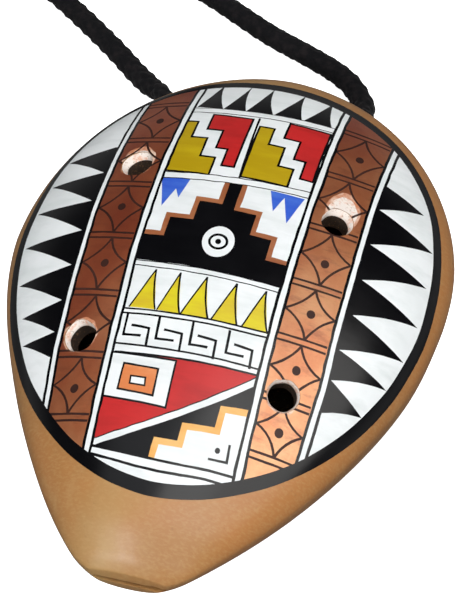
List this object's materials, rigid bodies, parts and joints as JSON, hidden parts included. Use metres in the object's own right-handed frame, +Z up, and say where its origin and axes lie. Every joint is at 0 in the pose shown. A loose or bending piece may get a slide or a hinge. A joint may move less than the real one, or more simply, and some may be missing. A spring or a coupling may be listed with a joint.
{
  "type": "ocarina",
  "caption": "Egg-shaped clay pendant flute with a painted geometric face, windway mouthpiece, finger and thumb holes, rear cord lugs and a tied neck cord with its spare length coiled.",
  "frame": {"origin": "on the surface it rests on, under the middle of the vessel's box without the neck cord", "axes": "+Z up out of the painted face, -Y towards the mouthpiece, +X to the right of the painted face"},
  "size_m": [0.1241, 0.1817, 0.0325],
  "materials": {
    "painted_clay": "hand painted, satin",
    "bare_clay": "burnished, satin",
    "black_cord": "braided, matt"
  },
  "bodies": {
    "root": {"front_shell": "painted_clay", "back_shell": "bare_clay", "mouthpiece_roof": "bare_clay", "windway_floor": "bare_clay", "labium": "bare_clay", "cord_lug_left": "bare_clay", "cord_lug_right": "bare_clay", "cord_tie_left": "black_cord", "cord_tie_right": "black_cord", "neck_cord_left": "black_cord", "neck_cord_right": "black_cord", "cord_coil": "black_cord", "cord_knot": "black_cord"}
  },
  "joints": []
}
